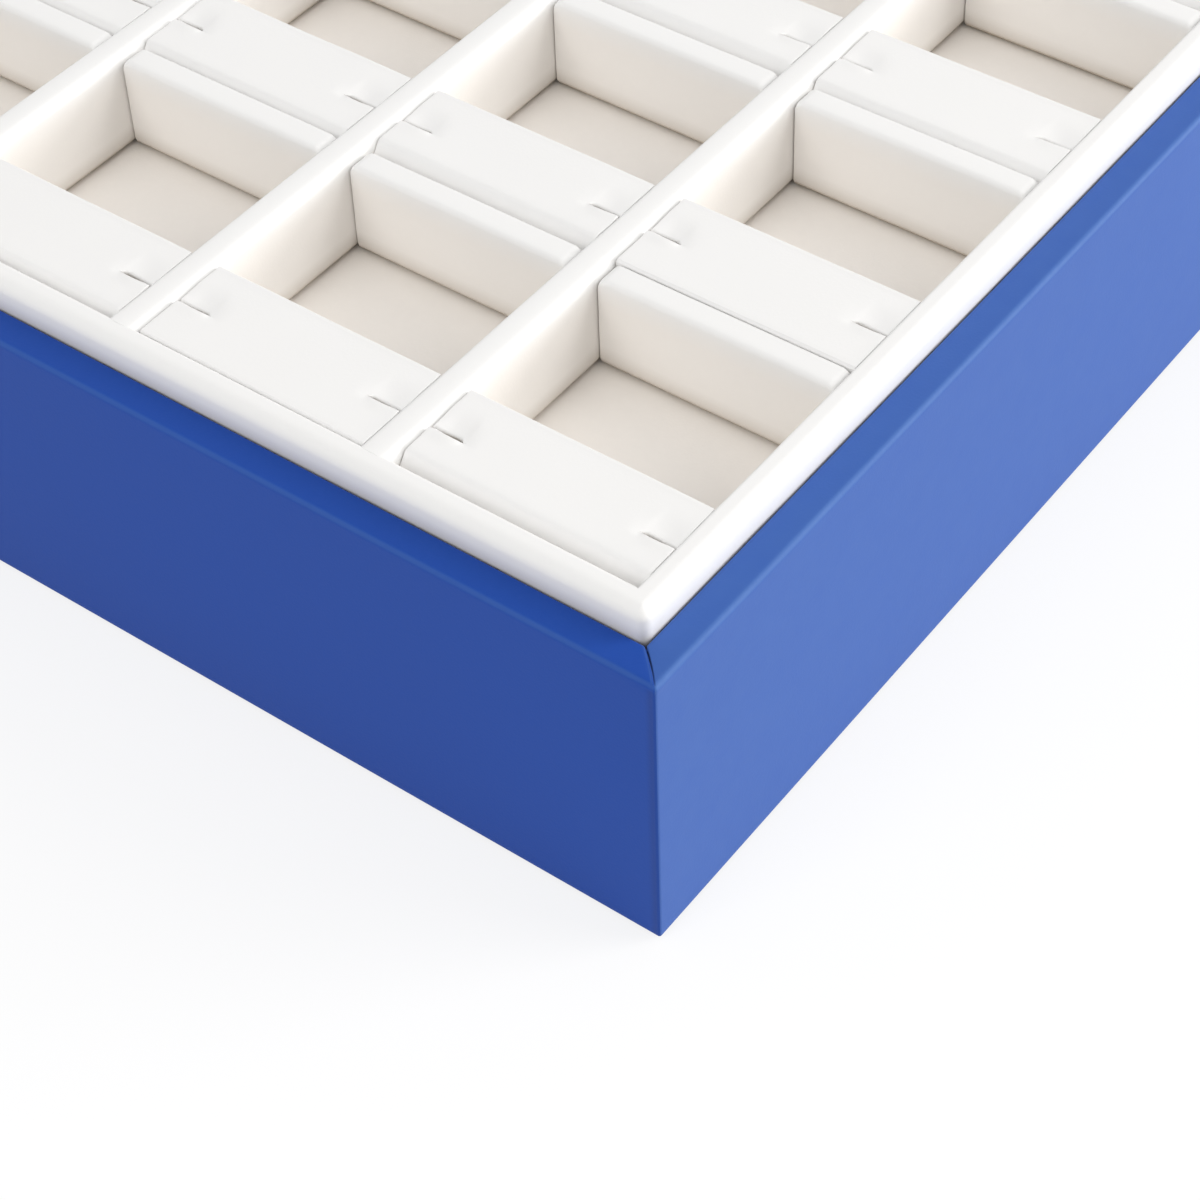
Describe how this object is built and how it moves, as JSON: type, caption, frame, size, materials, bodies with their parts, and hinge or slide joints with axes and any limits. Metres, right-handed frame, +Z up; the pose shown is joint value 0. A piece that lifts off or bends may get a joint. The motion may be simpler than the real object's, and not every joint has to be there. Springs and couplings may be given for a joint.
{
  "type": "earring display tray",
  "caption": "Box-shaped display tray with a covered casing and a lift-out insert of small cells, each with a loose bridge pad slit at both ends for a pair of earrings.",
  "frame": {"origin": "middle of the underside, on the surface that the tray stands on", "axes": "+Z up, +X to the right along the front wall, +Y from the front wall to the back"},
  "size_m": [0.1974, 0.2158, 0.0575],
  "materials": {
    "blue_leatherette": "smooth matte polyurethane leatherette, royal blue",
    "white_leatherette": "smooth matte polyurethane leatherette, warm white",
    "pad_leatherette": "smooth matte polyurethane leatherette, white",
    "greyboard": "dense grey bookbinding board",
    "lining_paper": "dark blue matte lining paper"
  },
  "bodies": {
    "casing": {"riser_front": "greyboard", "riser_back": "greyboard", "riser_left": "greyboard", "riser_right": "greyboard", "riser_middle": "greyboard", "base_board": "greyboard", "bottom_lining": "lining_paper", "casing_wrap": "blue_leatherette", "wall_back": "greyboard", "wall_front": "greyboard", "wall_left": "greyboard", "wall_right": "greyboard"},
    "insert": {"insert_floor": "white_leatherette", "frame_front": "white_leatherette", "frame_back": "white_leatherette", "frame_left": "white_leatherette", "frame_right": "white_leatherette", "rail_1": "white_leatherette", "rail_2": "white_leatherette", "rail_3": "white_leatherette", "divider_row1_column1": "white_leatherette", "divider_row1_column2": "white_leatherette", "divider_row1_column3": "white_leatherette", "divider_row1_column4": "white_leatherette", "divider_row2_column1": "white_leatherette", "divider_row2_column2": "white_leatherette", "divider_row2_column3": "white_leatherette", "divider_row2_column4": "white_leatherette", "divider_row3_column1": "white_leatherette", "divider_row3_column2": "white_leatherette", "divider_row3_column3": "white_leatherette", "divider_row3_column4": "white_leatherette"},
    "pad_row1_column1": {"pad_row1_column1": "pad_leatherette"},
    "pad_row1_column2": {"pad_row1_column2": "pad_leatherette"},
    "pad_row1_column3": {"pad_row1_column3": "pad_leatherette"},
    "pad_row1_column4": {"pad_row1_column4": "pad_leatherette"},
    "pad_row2_column1": {"pad_row2_column1": "pad_leatherette"},
    "pad_row2_column2": {"pad_row2_column2": "pad_leatherette"},
    "pad_row2_column3": {"pad_row2_column3": "pad_leatherette"},
    "pad_row2_column4": {"pad_row2_column4": "pad_leatherette"},
    "pad_row3_column1": {"pad_row3_column1": "pad_leatherette"},
    "pad_row3_column2": {"pad_row3_column2": "pad_leatherette"},
    "pad_row3_column3": {"pad_row3_column3": "pad_leatherette"},
    "pad_row3_column4": {"pad_row3_column4": "pad_leatherette"},
    "pad_row4_column1": {"pad_row4_column1": "pad_leatherette"},
    "pad_row4_column2": {"pad_row4_column2": "pad_leatherette"},
    "pad_row4_column3": {"pad_row4_column3": "pad_leatherette"},
    "pad_row4_column4": {"pad_row4_column4": "pad_leatherette"}
  },
  "joints": [
    {"name": "insert_lift", "type": "slide", "parent": "casing", "child": "insert", "axis": [0, 0, 1], "range_m": [0, 0.05]},
    {"name": "pad_lift_row1_column1", "type": "slide", "parent": "insert", "child": "pad_row1_column1", "axis": [0, 0, 1], "range_m": [0, 0.03]},
    {"name": "pad_lift_row1_column2", "type": "slide", "parent": "insert", "child": "pad_row1_column2", "axis": [0, 0, 1], "range_m": [0, 0.03]},
    {"name": "pad_lift_row1_column3", "type": "slide", "parent": "insert", "child": "pad_row1_column3", "axis": [0, 0, 1], "range_m": [0, 0.03]},
    {"name": "pad_lift_row1_column4", "type": "slide", "parent": "insert", "child": "pad_row1_column4", "axis": [0, 0, 1], "range_m": [0, 0.03]},
    {"name": "pad_lift_row2_column1", "type": "slide", "parent": "insert", "child": "pad_row2_column1", "axis": [0, 0, 1], "range_m": [0, 0.03]},
    {"name": "pad_lift_row2_column2", "type": "slide", "parent": "insert", "child": "pad_row2_column2", "axis": [0, 0, 1], "range_m": [0, 0.03]},
    {"name": "pad_lift_row2_column3", "type": "slide", "parent": "insert", "child": "pad_row2_column3", "axis": [0, 0, 1], "range_m": [0, 0.03]},
    {"name": "pad_lift_row2_column4", "type": "slide", "parent": "insert", "child": "pad_row2_column4", "axis": [0, 0, 1], "range_m": [0, 0.03]},
    {"name": "pad_lift_row3_column1", "type": "slide", "parent": "insert", "child": "pad_row3_column1", "axis": [0, 0, 1], "range_m": [0, 0.03]},
    {"name": "pad_lift_row3_column2", "type": "slide", "parent": "insert", "child": "pad_row3_column2", "axis": [0, 0, 1], "range_m": [0, 0.03]},
    {"name": "pad_lift_row3_column3", "type": "slide", "parent": "insert", "child": "pad_row3_column3", "axis": [0, 0, 1], "range_m": [0, 0.03]},
    {"name": "pad_lift_row3_column4", "type": "slide", "parent": "insert", "child": "pad_row3_column4", "axis": [0, 0, 1], "range_m": [0, 0.03]},
    {"name": "pad_lift_row4_column1", "type": "slide", "parent": "insert", "child": "pad_row4_column1", "axis": [0, 0, 1], "range_m": [0, 0.03]},
    {"name": "pad_lift_row4_column2", "type": "slide", "parent": "insert", "child": "pad_row4_column2", "axis": [0, 0, 1], "range_m": [0, 0.03]},
    {"name": "pad_lift_row4_column3", "type": "slide", "parent": "insert", "child": "pad_row4_column3", "axis": [0, 0, 1], "range_m": [0, 0.03]},
    {"name": "pad_lift_row4_column4", "type": "slide", "parent": "insert", "child": "pad_row4_column4", "axis": [0, 0, 1], "range_m": [0, 0.03]}
  ]
}
